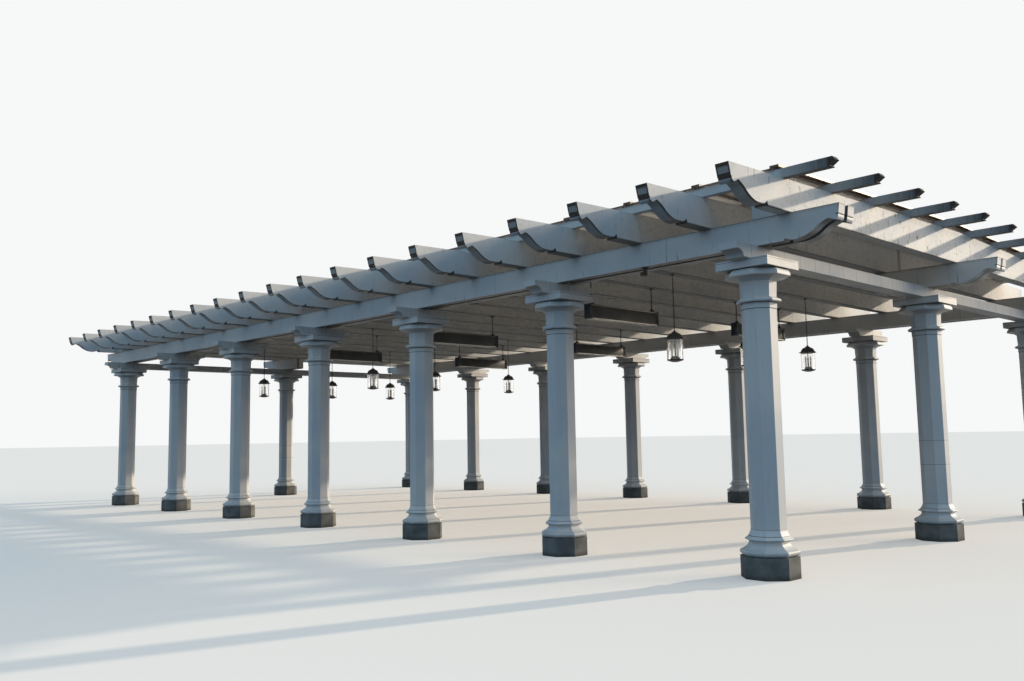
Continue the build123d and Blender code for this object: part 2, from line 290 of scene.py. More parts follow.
# Bolsters and end girders: sawn softwood laid across the columns, painted white.
# The long girders are built up of short lengths, so hairline joints cross their faces.

TIMES_PLUS, FRACTION = {"operation": "MULTIPLY_ADD"}, {"operation": "FRACT"}


def hairline_joints(axis, spacing, offset, half_width, strength):
    """Joints at an even spacing along one axis."""
    def mark(paint, at, normal, run):
        turns = add(paint, "Math", TIMES_PLUS,
                    {0: at[axis], 1: 1.0 / spacing, 2: 0.5 - offset / spacing}, 0)
        part = add(paint, "Math", FRACTION, {0: turns}, 0)
        off = add(paint, "Math", TIMES_PLUS, {0: part, 1: spacing, 2: -spacing / 2}, 0)
        return line_at(paint, off, half_width, strength), SOOT_AND_SHADE
    return mark


def shaded_underside(paint, at, normal, run):
    """Painted shade on the undersides, a grey laid over faces that look down."""
    under = add(paint, "MapRange", SMOOTH,
                {"Value": normal["Z"], "From Min": -0.25, "From Max": -0.9, "To Max": 0.3}, 0)
    return under, "#4B4C47"


def shaded_quirk(axis, low, high):
    """Painted shade in the upright step that ends each scroll, between two distances from the middle."""
    def mark(paint, at, normal, run):
        steep = add(paint, "Math", UNSIGNED, {0: normal[axis]}, 0)
        step = add(paint, "MapRange", SMOOTH, {"Value": steep, "From Min": 0.7, "From Max": 0.9}, 0)
        reach = add(paint, "Math", UNSIGNED, {0: at[axis]}, 0)
        here = add(paint, "Math", NEAR, {0: reach, 1: (low + high) / 2, 2: (high - low) / 2}, 0)
        factor = add(paint, "Math", TIMES, {0: step, 1: here}, 0)
        return add(paint, "Math", TIMES, {0: factor, 1: 0.85}, 0), SOOT_AND_SHADE
    return mark


cross_paint = painted_timber("White paint on cross timbers", "Y",
                             [settled_dust, shaded_underside,
                              hairline_joints("Y", 0.31, 0.09, 0.005, 0.45)])
coat(cross_paint, "front_bolsters", "back_bolsters", "left_girder", "right_girder")


# Long beams and outriggers: pairs of sawn planks with packing pieces between them at
# the columns, painted white. The planks are joined end to end between the columns.

BEAM_BOTTOM, BEAM_TOP, BEAM_TIP = 3.182, 3.444, 9.057
BEYOND = {"operation": "GREATER_THAN"}


def dusty_top_edge(low, high, strength):
    """Dirt that rain washes down from a top edge between two heights."""
    def mark(paint, at, normal, run):
        edge = add(paint, "MapRange", SMOOTH,
                   {"Value": at["Z"], "From Min": low, "From Max": high, "To Max": strength}, 0)
        return add(paint, "Math", TIMES_CAPPED, {0: edge, 1: run}, 0), GRIME
    return mark


def plank_shadows(paint, at, normal, run):
    """Painted shade in the gap between two planks, on the planks' undersides, most on the outer one, and
    along the top edge.
    """
    reach = add(paint, "Math", UNSIGNED, {0: at["Y"]}, 0)
    off = add(paint, "Math", MINUS, {0: reach, 1: ROW_GAP}, 0)
    gap = add(paint, "Math", NEAR, {0: off, 1: 0.0, 2: 0.04}, 0)
    aside = add(paint, "Math", UNSIGNED, {0: normal["Y"]}, 0)
    gap = add(paint, "Math", TIMES, {0: gap, 1: aside}, 0)
    gap = add(paint, "Math", TIMES, {0: gap, 1: 0.8}, 0)
    under = add(paint, "MapRange", SMOOTH, {"Value": normal["Z"], "From Min": -0.8, "From Max": -0.95}, 0)
    outside = add(paint, "MapRange", {},
                  {"Value": off, "From Min": 0.0, "From Max": 0.01, "To Min": 0.55, "To Max": 0.85}, 0)
    under = add(paint, "Math", TIMES, {0: under, 1: outside}, 0)
    top = add(paint, "MapRange", SMOOTH,
              {"Value": at["Z"], "From Min": BEAM_TOP - 0.012, "From Max": BEAM_TOP - 0.001,
               "To Max": 0.7}, 0)
    factor = add(paint, "Math", LARGER, {0: gap, 1: under}, 0)
    return add(paint, "Math", LARGER, {0: factor, 1: top}, 0), "#262524"


def weeping_streaks(paint, at, normal, run):
    """Thin grey runs that damp joints have left down the lower half of the planks."""
    wet_and_shade = add(paint, "MapRange", SMOOTH,
              {"Value": run, "From Min": 0.62, "From Max": 0.72, "To Max": 0.45}, 0)
    low = add(paint, "MapRange", SMOOTH,
              {"Value": at["Z"], "From Min": BEAM_TOP - 0.084, "From Max": BEAM_BOTTOM + 0.058}, 0)
    return add(paint, "Math", TIMES, {0: wet_and_shade, 1: low}, 0), "#5C625F"


def outlined_and_shaded_ends(paint, at, normal, run):
    """Black mildew round the end grain of each plank, and painted shade in the step of its moulding and
    under its nose.
    """
    reach = add(paint, "Math", UNSIGNED, {0: at["X"]}, 0)
    corner_edge = add(paint, "MapRange", SMOOTH,
                      {"Value": reach, "From Min": BEAM_TIP - 0.017, "From Max": BEAM_TIP - 0.007}, 0)
    aside = add(paint, "Math", UNSIGNED, {0: normal["Y"]}, 0)
    corner_edge = add(paint, "Math", TIMES, {0: corner_edge, 1: aside}, 0)
    off = add(paint, "Math", MINUS, {0: at["Z"], 1: BEAM_BOTTOM + 0.164}, 0)
    here = add(paint, "Math", BEYOND, {0: reach, 1: BEAM_TIP - 0.037}, 0)
    step = add(paint, "Math", TIMES, {0: line_at(paint, off, 0.011, 1.0), 1: here}, 0)
    factor = add(paint, "Math", LARGER, {0: corner_edge, 1: step}, 0)
    nose = add(paint, "Math", BEYOND, {0: reach, 1: BEAM_TIP - 0.117}, 0)
    under = add(paint, "MapRange", SMOOTH, {"Value": normal["Z"], "From Min": -0.5, "From Max": -0.8}, 0)
    under = add(paint, "Math", TIMES, {0: under, 1: nose}, 0)
    factor = add(paint, "Math", LARGER, {0: factor, 1: under}, 0)
    return add(paint, "Math", TIMES, {0: factor, 1: 0.85}, 0), SOOT_AND_SHADE


beam_paint = painted_timber("White paint on beam planks", "X",
                            [settled_dust, weeping_streaks, plank_shadows, outlined_and_shaded_ends,
                             dusty_top_edge(BEAM_TOP - 0.044, BEAM_TOP + 0.006, 0.9),
                             shaded_quirk("X", BEAM_TIP - 0.582, BEAM_TIP - 0.552),
                             hairline_joints("X", BAY, 1.72, 0.005, 0.5)])
coat(beam_paint, "front_beam", "back_beam", "left_outrigger", "right_outrigger", "beam_spacers")


# Rafters: sawn softwood on edge across the beams, with a scroll cut at both tails,
# painted white. The raked end grain has gone black with mildew round its edges, and
# the whole raked face carries painted shade as well.

RAFTER_FIRST, RAFTER_SPACING, RAFTER_HALF, RAFTER_TIP = 8.505, 0.89526, 0.070, 5.172


def across_rafter(paint, at):
    """Distance from the middle of the nearest rafter's thickness, towards +X."""
    turns = add(paint, "Math", TIMES_PLUS,
                {0: at["X"], 1: 1.0 / RAFTER_SPACING, 2: 0.5 - RAFTER_FIRST / RAFTER_SPACING}, 0)
    part = add(paint, "Math", FRACTION, {0: turns}, 0)
    return add(paint, "Math", TIMES_PLUS, {0: part, 1: RAFTER_SPACING, 2: -RAFTER_SPACING / 2}, 0)


def black_tails(paint, at, normal, run):
    """Mildew round the rims of the raked tips, darkest along their upper edge, over painted shade on the
    whole raked face.
    """
    steep = add(paint, "Math", UNSIGNED, {0: normal["Y"]}, 0)
    end = add(paint, "MapRange", SMOOTH, {"Value": steep, "From Min": 0.90, "From Max": 0.95}, 0)
    reach = add(paint, "Math", UNSIGNED, {0: at["Y"]}, 0)
    tip = add(paint, "Math", BEYOND, {0: reach, 1: RAFTER_TIP - 0.072}, 0)
    where = add(paint, "Math", TIMES, {0: end, 1: tip}, 0)
    over = add(paint, "MapRange", SMOOTH,
               {"Value": at["Z"], "From Min": BEAM_TOP + 0.246, "From Max": BEAM_TOP + 0.268}, 0)
    under = add(paint, "MapRange", SMOOTH,
                {"Value": at["Z"], "From Min": BEAM_TOP + 0.204, "From Max": BEAM_TOP + 0.197}, 0)
    rim = add(paint, "Math", LARGER, {0: over, 1: under}, 0)
    aside = add(paint, "Math", UNSIGNED, {0: across_rafter(paint, at)}, 0)
    side = add(paint, "MapRange", SMOOTH,
               {"Value": aside, "From Min": RAFTER_HALF - 0.022, "From Max": RAFTER_HALF - 0.010}, 0)
    rim = add(paint, "Math", LARGER, {0: rim, 1: side}, 0)
    # The rest of the raked face is darkened this far as painted shade.
    rim = add(paint, "MapRange", {}, {"Value": rim, "To Min": 0.42, "To Max": 1.0}, 0)
    return add(paint, "Math", TIMES, {0: where, 1: rim}, 0), SOOT_AND_SHADE


def shaded_arrises(paint, at, normal, run):
    """Painted shade along the lower edges, and along one side of each tail's underside.

    On the end rafters the lower-edge line is nearly left out, so that on them only the side line under
    the tails is dark.
    """
    under = add(paint, "MapRange", SMOOTH, {"Value": normal["Z"], "From Min": -0.25, "From Max": -0.7}, 0)
    across = across_rafter(paint, at)
    wet_and_shade = add(paint, "MapRange", SMOOTH,
              {"Value": across, "From Min": RAFTER_HALF - 0.034, "From Max": RAFTER_HALF - 0.016}, 0)
    below = add(paint, "Math", TIMES, {0: under, 1: wet_and_shade}, 0)
    reach = add(paint, "Math", UNSIGNED, {0: at["Y"]}, 0)
    outside = add(paint, "MapRange", SMOOTH,
                  {"Value": reach, "From Min": ROW_GAP - 0.1, "From Max": ROW_GAP + 0.2}, 0)
    below = add(paint, "Math", TIMES, {0: below, 1: outside}, 0)
    low = add(paint, "MapRange", SMOOTH,
              {"Value": at["Z"], "From Min": BEAM_TOP + 0.013, "From Max": BEAM_TOP + 0.002}, 0)
    reach = add(paint, "Math", UNSIGNED, {0: at["X"]}, 0)
    # The end rafters keep only a trace of the painted shade along their lower edge.
    spared = add(paint, "Math", NEAR, {0: reach, 1: RAFTER_FIRST - 0.009, 2: 0.064}, 0)
    spared = add(paint, "Math", TIMES_PLUS, {0: spared, 1: -0.92, 2: 1.0}, 0)
    low = add(paint, "Math", TIMES, {0: low, 1: spared}, 0)
    factor = add(paint, "Math", LARGER, {0: below, 1: low}, 0)
    return add(paint, "Math", TIMES, {0: factor, 1: 0.85}, 0), "#262622"


def knots_and_cracks(paint, at, normal, run):
    """Rusty knots and short upright cracks where the paint has opened."""
    place = add(paint, "TexCoord", {}, {}, "Object")
    spots = add(paint, "TexVoronoi", {}, {"Vector": place, "Scale": 3.2}, "Distance")
    spot = add(paint, "MapRange", SMOOTH,
               {"Value": spots, "From Min": 0.11, "From Max": 0.05, "To Max": 0.8}, 0)
    drawn = add(paint, "Mapping", {}, {"Vector": place, "Scale": (22.0, 22.0, 6.0)}, 0)
    torn = add(paint, "TexNoise", {},
               {"Vector": drawn, "Scale": 1.0, "Detail": 5.0, "Roughness": 0.65}, 0)
    crack = add(paint, "MapRange", SMOOTH,
                {"Value": torn, "From Min": 0.60, "From Max": 0.67, "To Max": 0.7}, 0)
    mark = add(paint, "Math", LARGER, {0: spot, 1: crack}, 0)
    reach = add(paint, "Math", UNSIGNED, {0: at["X"]}, 0)
    weather = add(paint, "MapRange", {},
                  {"Value": reach, "From Min": RAFTER_FIRST + 0.045, "From Max": RAFTER_FIRST + 0.065,
                   "To Min": 0.3}, 0)
    return add(paint, "Math", TIMES, {0: mark, 1: weather}, 0), "#6E5C48"


def speckled(paint, at, normal, run):
    """Fine dirt in the open grain of the sides, laid on more thickly under the roof than on the tails as
    painted shade.
    """
    place = add(paint, "TexCoord", {}, {}, "Object")
    drawn = add(paint, "Mapping", {}, {"Vector": place, "Scale": (1.0, 0.5, 1.0)}, 0)
    grime = add(paint, "TexNoise", {},
                {"Vector": drawn, "Scale": 24.0, "Detail": 9.0, "Roughness": 0.75}, 0)
    patch = add(paint, "TexNoise", {}, {"Vector": place, "Scale": 3.0, "Detail": 3.0}, 0)
    fine = add(paint, "MapRange", SMOOTH,
               {"Value": grime, "From Min": 0.48, "From Max": 0.72, "To Max": 0.9}, 0)
    reach = add(paint, "Math", UNSIGNED, {0: at["Y"]}, 0)
    roofed_shade = add(paint, "MapRange", SMOOTH,
                 {"Value": reach, "From Min": ROW_GAP + 0.4, "From Max": ROW_GAP - 0.1,
                  "To Min": 0.25}, 0)
    fine = add(paint, "Math", TIMES, {0: fine, 1: roofed_shade}, 0)
    return add(paint, "Math", TIMES, {0: fine, 1: patch}, 0), "#7B7E7A"


def rusty_streak(paint, at, normal, run):
    """One brown streak on the second rafter, where water runs in beside the outrigger."""
    across = add(paint, "Math", MINUS, {0: at["Y"], 1: 0.29}, 0)
    across = line_at(paint, across, 0.065, 1.0)
    second_face = RAFTER_FIRST - RAFTER_SPACING + RAFTER_HALF
    here = add(paint, "Math", NEAR, {0: at["X"], 1: second_face, 2: 0.03}, 0)
    low = add(paint, "MapRange", SMOOTH,
              {"Value": at["Z"], "From Min": BEAM_TOP + 0.036, "From Max": BEAM_TOP + 0.096,
               "To Max": 0.6}, 0)
    factor = add(paint, "Math", TIMES, {0: across, 1: here}, 0)
    return add(paint, "Math", TIMES, {0: factor, 1: low}, 0), "#6B4E30"


rafter_paint = painted_timber("White paint on rafters", "Y",
                              [settled_dust, speckled, knots_and_cracks,
                               dusty_top_edge(BEAM_TOP + 0.276, BEAM_TOP + 0.376, 0.7),
                               shaded_arrises, rusty_streak,
                               shaded_quirk("Y", RAFTER_TIP - 0.632, RAFTER_TIP - 0.610), black_tails],
                              dullness=(0.58, 0.78))
coat(rafter_paint, "end_rafters", *(f"rafters_bay_{bay}" for bay in range(1, 7)))


# Purlins: light sawn softwood on the rafters' tops, painted white, with small scroll-cut
# tips. Their tips have gone black with mildew, and their undersides outside the end
# rafters carry painted shade.

PURLIN_TIP = 9.1


def black_tips(paint, at, normal, run):
    """Mildew outside the end rafters, thicker towards each tip, and painted shade along their undersides
    there.
    """
    reach = add(paint, "Math", UNSIGNED, {0: at["X"]}, 0)
    tip = add(paint, "MapRange", SMOOTH,
              {"Value": reach, "From Min": PURLIN_TIP - 0.160, "From Max": PURLIN_TIP - 0.055,
               "To Max": 0.97}, 0)
    under = add(paint, "MapRange", SMOOTH,
                {"Value": normal["Z"], "From Min": -0.8, "From Max": -0.98, "To Max": 0.8}, 0)
    outside = add(paint, "MapRange", SMOOTH,
                  {"Value": reach, "From Min": RAFTER_FIRST - 0.005, "From Max": RAFTER_FIRST + 0.095}, 0)
    under = add(paint, "Math", TIMES, {0: under, 1: outside}, 0)
    fading = add(paint, "MapRange", {},
                 {"Value": reach, "From Min": RAFTER_FIRST + 0.075, "From Max": PURLIN_TIP - 0.070,
                  "To Min": 0.38, "To Max": 0.88}, 0)
    fading = add(paint, "Math", TIMES, {0: fading, 1: outside}, 0)
    cloudy = add(paint, "MapRange", {},
                 {"Value": run, "From Min": 0.3, "From Max": 0.6, "To Min": 0.88}, 0)
    fading = add(paint, "Math", TIMES, {0: fading, 1: cloudy}, 0)
    factor = add(paint, "Math", LARGER, {0: tip, 1: under}, 0)
    return add(paint, "Math", LARGER, {0: factor, 1: fading}, 0), SOOT_AND_SHADE


purlin_paint = painted_timber("White paint on purlins", "X", [settled_dust, black_tips],
                              dullness=(0.80, 0.95))
coat(purlin_paint, "front_purlins", "back_purlins")


# Roof sheets: extruded twin-wall polycarbonate, tinted bronze, one to each gap between
# rafters. Its flutes run down the slope, and dust lies in them.

# Daylight comes through the sheet, scattered by its flutes, so its underside looks warm
# and pale. Real flutes are 16 mm apart and are drawn at 32 mm, to show.
FLUTE_SPACING = 0.032
sheet = new_material("Bronze twin-wall polycarbonate", 0.6)
sheet.node_tree.nodes["Principled BSDF"].inputs["Transmission Weight"].default_value = 0.85
place = add(sheet, "TexCoord", {}, {}, "Object")
across = add(sheet, "SeparateXYZ", {}, {"Vector": place}, "X")
facing = add(sheet, "NewGeometry", {}, {}, "Normal")
flatness = add(sheet, "SeparateXYZ", {}, {"Vector": facing}, "Z")
flatness = add(sheet, "Math", UNSIGNED, {0: flatness}, 0)
edge = add(sheet, "MapRange", SMOOTH, {"Value": flatness, "From Min": 0.6, "From Max": 0.3}, 0)
wave = add(sheet, "Math", TIMES, {0: across, 1: 2 * math.pi / FLUTE_SPACING}, 0)
flute = add(sheet, "Math", {"operation": "SINE"}, {0: wave}, 0)
dust = add(sheet, "TexNoise", {}, {"Vector": place, "Scale": 2.5, "Detail": 7.0}, 0)
dusty = add(sheet, "MapRange", SMOOTH,
            {"Value": dust, "From Min": 0.4, "From Max": 0.75, "To Max": 0.45}, 0)
rib = add(sheet, "MapRange", {}, {"Value": flute, "From Min": -1.0}, 0)
tone = add(sheet, "Mix", COLOURS, {0: rib, 6: linear("#A8A29B"), 7: linear("#C4BFB8")}, 2)
tone = add(sheet, "Mix", COLOURS, {0: dusty, 6: tone, 7: linear("#ABA59B")}, 2)
tone = add(sheet, "Mix", COLOURS, {0: edge, 6: tone, 7: linear("#2E2420")}, 2)
bump = add(sheet, "Bump", {}, {"Strength": 0.5, "Distance": 0.003, "Height": flute}, 0)
surface_takes(sheet, Base_Color=tone, Normal=bump)
coat(sheet, "front_roof_sheets", "back_roof_sheets")


# Cover bars: folded aluminium strips, stove-coated dark brown, screwed down over the
# joints of the sheets above each rafter.

bar = new_material("Brown stove-coated aluminium", 0.45)
place = add(bar, "TexCoord", {}, {}, "Object")
dust = add(bar, "TexNoise", {}, {"Vector": place, "Scale": 6.0, "Detail": 6.0}, 0)
dusty = add(bar, "MapRange", SMOOTH,
            {"Value": dust, "From Min": 0.42, "From Max": 0.72, "To Max": 0.6}, 0)
tone = add(bar, "Mix", COLOURS, {0: dusty, 6: linear("#241C16"), 7: linear("#48413A")}, 2)
# Their undersides are a lighter, warmer brown than the rest.
facing = add(bar, "NewGeometry", {}, {}, "Normal")
flatness = add(bar, "SeparateXYZ", {}, {"Vector": facing}, "Z")
below = add(bar, "MapRange", SMOOTH, {"Value": flatness, "From Min": -0.5, "From Max": -0.9}, 0)
tone = add(bar, "Mix", COLOURS, {0: below, 6: tone, 7: linear("#6E4C31")}, 2)
surface_takes(bar, Base_Color=tone)
coat(bar, "front_cover_bars", "back_cover_bars")


# Stop blocks: short offcuts of the beam timber on the beams beside each end rafter, which
# keep it from rolling. They are nailed down flush with the outer planks and painted white.

def box(shape, corner, opposite):
    """Adds a block between two opposite corners."""
    low = Vector([min(pair) for pair in zip(corner, opposite)])
    size = Vector([max(pair) for pair in zip(corner, opposite)]) - low
    made = bmesh.ops.create_cube(shape, size=1.0)["verts"]
    bmesh.ops.scale(shape, verts=made, vec=size)
    bmesh.ops.translate(shape, verts=made, vec=low + size / 2)


def soften(shape, width, segments=2):
    """Rounds every sharp edge of the shape."""
    edges = [edge for edge in shape.edges if edge.calc_face_angle(0.0) > 0.6]
    bmesh.ops.bevel(shape, geom=edges, offset=width, affect="EDGES", segments=segments, profile=0.5,
                    material=-1, clamp_overlap=True)


# Distances from the middle of the plan to each block's inner and outer corner.
BLOCK_INNER, BLOCK_OUTER, BLOCK_HEIGHT, BEDDING = (8.156, 4.031), (8.434, 4.144), 0.150, 0.0005
shape = bmesh.new()
for end in (-1, 1):
    for row in (-1, 1):
        box(shape, (end * BLOCK_INNER[0], row * BLOCK_INNER[1], BEAM_TOP + BEDDING),
            (end * BLOCK_OUTER[0], row * BLOCK_OUTER[1], BEAM_TOP + BLOCK_HEIGHT))
soften(shape, 0.003, 1)
finish("stop_blocks", shape, cross_paint)


# Heaters: long folded steel cases, coated dark grey, with vented end caps and a bright
# reflector lip round the open underside. Each hangs on two threaded rods.

# Each heater's rafter, counted from the right end, and its place across the span.
HEATERS = [(4, -2.230), (4, 1.235), (8, -2.045), (8, 1.395), (12, -1.940), (12, 1.525)]
HEATER_LENGTH, HEATER_WIDTH, HEATER_HEIGHT, HEATER_TOP, CAP_LENGTH = 1.46, 0.11, 0.205, 3.11, 0.042


def under_rafters(places, height):
    """Turns pairs of a rafter's number and a place across the span into points."""
    return [(RAFTER_FIRST - number * RAFTER_SPACING, y, height) for number, y in places]


def mottled(name, roughness, sheen, scale, colours, spread=(0.35, 0.7), most=1.0, detail=5.0):
    """A coat whose first colour drifts to a second one in cloudy patches."""
    coated = new_material(name, roughness, sheen=sheen)
    place = add(coated, "TexCoord", {}, {}, "Object")
    haze = add(coated, "TexNoise", {}, {"Vector": place, "Scale": scale, "Detail": detail}, 0)
    hazed = add(coated, "MapRange", SMOOTH,
                {"Value": haze, "From Min": spread[0], "From Max": spread[1], "To Max": most}, 0)
    tone = add(coated, "Mix", COLOURS, {0: hazed, 6: linear(colours[0]), 7: linear(colours[1])}, 2)
    surface_takes(coated, Base_Color=tone)
    return coated


heater_places = under_rafters(HEATERS, HEATER_TOP)
half_width, half_length = HEATER_WIDTH / 2, HEATER_LENGTH / 2
body_end = half_length - CAP_LENGTH
lower_edge = -HEATER_HEIGHT

# Coated steel is satin, its grey drifting in cloudy patches. The dulling that heat gives the middle of
# each case is not drawn.
heater_coat = mottled("Dark grey coated steel", 0.42, 0.2, 4.0, ("#555552", "#64635F"))
CASE_INSET, RIDGE_INSET, RIDGE_HEIGHT, LIP_TOP, LAP = 0.012, 0.026, 0.012, 0.016, 0.002
case_half, ridge_half = half_width - CASE_INSET, half_width - RIDGE_INSET
shape = bmesh.new()
box(shape, (-case_half, -body_end, lower_edge + LIP_TOP), (case_half, body_end, -RIDGE_HEIGHT))
box(shape, (-ridge_half, -body_end, -RIDGE_HEIGHT - LAP), (ridge_half, body_end, 0.0))
soften(shape, 0.006)
repeat(shape, heater_places)
cases = finish("heater_cases", shape, heater_coat, smooth=30)
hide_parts("heaters")

# The end caps are bluer, with four upright vent slots each.
cap_coat = mottled("Blue-grey coated steel", 0.4, 0.2, 9.0, ("#4C5157", "#62676C"))
FINS, FIN_WIDTH, FIN_DEPTH, RAIL_HEIGHT, CAP_DROP = 5, 0.012, 0.020, 0.014, 0.003
fin_pitch = (HEATER_WIDTH - FIN_WIDTH) / (FINS - 1)
fin_root, cap_half = half_length - FIN_DEPTH, half_width - CAP_DROP
rail_half, rail_face = half_width - FIN_WIDTH / 2, half_length - LAP
shape = bmesh.new()
for side in (-1, 1):
    box(shape, (-cap_half, side * body_end, lower_edge),
        (cap_half, side * (fin_root + 2 * LAP), -CAP_DROP))
    for fin in range(FINS):
        left = -half_width + fin * fin_pitch
        box(shape, (left, side * fin_root, lower_edge), (left + FIN_WIDTH, side * half_length, -CAP_DROP))
    for low in (lower_edge, -CAP_DROP - RAIL_HEIGHT):
        box(shape, (-rail_half, side * fin_root, low), (rail_half, side * rail_face, low + RAIL_HEIGHT))
repeat(shape, heater_places)
finish("heater_end_caps", shape, cap_coat)

# The reflector lip is polished stainless sheet, turned out along the lower edges, and
# thin strips of it trim the upper ones.
bright = new_material("Polished stainless sheet", 0.18, metallic=1.0)
place = add(bright, "TexCoord", {}, {}, "Object")
smear = add(bright, "TexNoise", {}, {"Vector": place, "Scale": 30.0, "Detail": 3.0}, 0)
smeared = add(bright, "MapRange", {}, {"Value": smear, "To Min": 0.2, "To Max": 0.45}, 0)
bright.node_tree.nodes["Principled BSDF"].inputs["Base Color"].default_value = linear("#8F8D88")
surface_takes(bright, Roughness=smeared)
LIP_WIDTH, LIP_BOTTOM, FOLD, TRIM_INSET = 0.020, 0.004, 0.008, 0.006
STAYS, FIRST_STAY, STAY_WIDTH, STAY_HEIGHT = 9, 0.08, 0.006, 0.010
lip_half, lip_end = half_width - LIP_WIDTH, body_end - LAP
trim_face, trim_top = half_width - TRIM_INSET, -RIDGE_HEIGHT - LAP
back_top = lower_edge + LIP_TOP + LAP
shape = bmesh.new()
for side in (-1, 1):
    box(shape, (side * lip_half, -lip_end, lower_edge + LIP_BOTTOM),
        (side * half_width, lip_end, lower_edge + LIP_TOP))
    box(shape, (side * (trim_face - FOLD), -lip_end, trim_top - FOLD),
        (side * trim_face, lip_end, trim_top))
box(shape, (-lip_half, -lip_end, back_top - FOLD), (lip_half, lip_end, back_top))
for stay in range(STAYS):
    y = (body_end - FIRST_STAY) * (2 * stay / (STAYS - 1) - 1)
    box(shape, (-lip_half, y - STAY_WIDTH / 2, lower_edge + LAP),
        (lip_half, y + STAY_WIDTH / 2, lower_edge + LAP + STAY_HEIGHT))
repeat(shape, heater_places)
finish("heater_reflectors", shape, bright)

# Rods and their brackets are black steel, zinc under the coat, satin.
black_steel = mottled("Black coated steel", 0.42, 0.2, 40.0, ("#242425", "#43403C"),
                      spread=(0.58, 0.75), most=0.6)
coat(black_steel, "heater_rods")

ROD_SPACING, ROD_LENGTH = 1.29, BEAM_TOP - HEATER_TOP
# Plate and socket on the heater, then plate and nut under the rafter. Each has its half
# sizes along X and Y and its two heights up the rod.
BRACKET = [(0.034, 0.030, -0.001, 0.012), (0.012, 0.018, 0.010, 0.034),
           (0.030, 0.030, ROD_LENGTH - 0.008, ROD_LENGTH),
           (0.014, 0.014, ROD_LENGTH - 0.024, ROD_LENGTH - 0.006)]
shape = bmesh.new()
for side in (-1, 1):
    y = side * ROD_SPACING / 2
    for half_x, half_y, low, high in BRACKET:
        box(shape, (-half_x, y - half_y, low), (half_x, y + half_y, high))
soften(shape, 0.002, 1)
repeat(shape, heater_places)
finish("heater_brackets", shape, black_steel)


# Lanterns: spun black steel caps and trays with a blown glass cylinder between them and
# a cluster of white candle lamps inside. Each hangs on a chain under a rafter.

LANTERNS = [(3, -2.285), (3, -0.560), (3, 1.140), (11, -2.015), (11, -0.525), (11, 1.490),
            (15, -2.335), (15, -0.645), (15, 0.965)]
LANTERN_BOTTOM, GLASS_BOTTOM, GLASS_TOP, CAP_TOP = 2.298, 2.332, 2.584, 2.706
cap_height, glass_height, tray_height = (CAP_TOP - GLASS_TOP, GLASS_TOP - GLASS_BOTTOM,
                                         GLASS_BOTTOM - LANTERN_BOTTOM)
lantern_places = under_rafters(LANTERNS, 0.0)


def lantern_piece(name, section, foot, material, smooth, steps=28):
    """Turns one section for every lantern, with its foot at a height over the ground."""
    shape = bmesh.new()
    spun(shape, section, steps, (0.0, 0.0, foot))
    repeat(shape, lantern_places)
    return finish(name, shape, material, smooth=smooth)


# The caps are greyer than the rest, a satin coat that the sun has dulled.
cap_steel = mottled("Sun-dulled black coat", 0.5, 0.3, 14.0, ("#444443", "#585753"))
CAP_SECTION = [(0.0, 0.0), (0.106, 0.0), (0.106, 0.010), (0.128, 0.010), (0.130, 0.016),
               (0.126, 0.020), (0.104, 0.026), (0.099, 0.042), (0.091, 0.059), (0.077, 0.075),
               (0.057, 0.087), (0.036, 0.093), (0.034, 0.103), (0.022, 0.110), (0.013, 0.112),
               (0.013, cap_height), (0.0, cap_height)]
caps = lantern_piece("lantern_cap_roofs", CAP_SECTION, GLASS_TOP, cap_steel, 35)
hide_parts("lantern_caps")

TRAY_SECTION = [(0.0, 0.0), (0.030, 0.0), (0.052, 0.004), (0.096, 0.018), (0.105, 0.022),
                (0.105, tray_height), (0.0, tray_height)]
trays = lantern_piece("lantern_base_trays", TRAY_SECTION, LANTERN_BOTTOM, black_steel,
                      35)
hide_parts("lantern_trays")

# A stem down the middle holds cap and tray together, beside the candles.
STEM_RADIUS = 0.0065
STEM_SECTION = [(0.0, 0.0), (STEM_RADIUS, 0.0), (STEM_RADIUS, glass_height), (0.0, glass_height)]
lantern_piece("lantern_stems", STEM_SECTION, GLASS_BOTTOM, black_steel, 40, steps=10)

# Blown glass, clear with a little dust. Its faint green edge is not drawn.
clear_glass = new_material("Clear blown glass", 0.04)
surface = clear_glass.node_tree.nodes["Principled BSDF"]
surface.inputs["Base Color"].default_value = linear("#FBFBFA")
surface.inputs["Transmission Weight"].default_value = 1.0
surface.inputs["IOR"].default_value = 1.5
place = add(clear_glass, "TexCoord", {}, {}, "Object")
dust = add(clear_glass, "TexNoise", {}, {"Vector": place, "Scale": 45.0, "Detail": 4.0}, 0)
dusty = add(clear_glass, "MapRange", {},
            {"Value": dust, "From Min": 0.4, "From Max": 0.8, "To Min": 0.02, "To Max": 0.16}, 0)
surface_takes(clear_glass, Roughness=dusty)
GLASS_OUTER, GLASS_INNER, PLAY = 0.104, 0.100, 0.001
GLASS_SECTION = [(GLASS_INNER, PLAY), (GLASS_OUTER, PLAY), (GLASS_OUTER, glass_height - PLAY),
                 (GLASS_INNER, glass_height - PLAY), (GLASS_INNER, PLAY)]
cylinders = lantern_piece("lantern_glass_cylinders", GLASS_SECTION, GLASS_BOTTOM, clear_glass,
                          35, steps=40)
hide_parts("lantern_glasses")

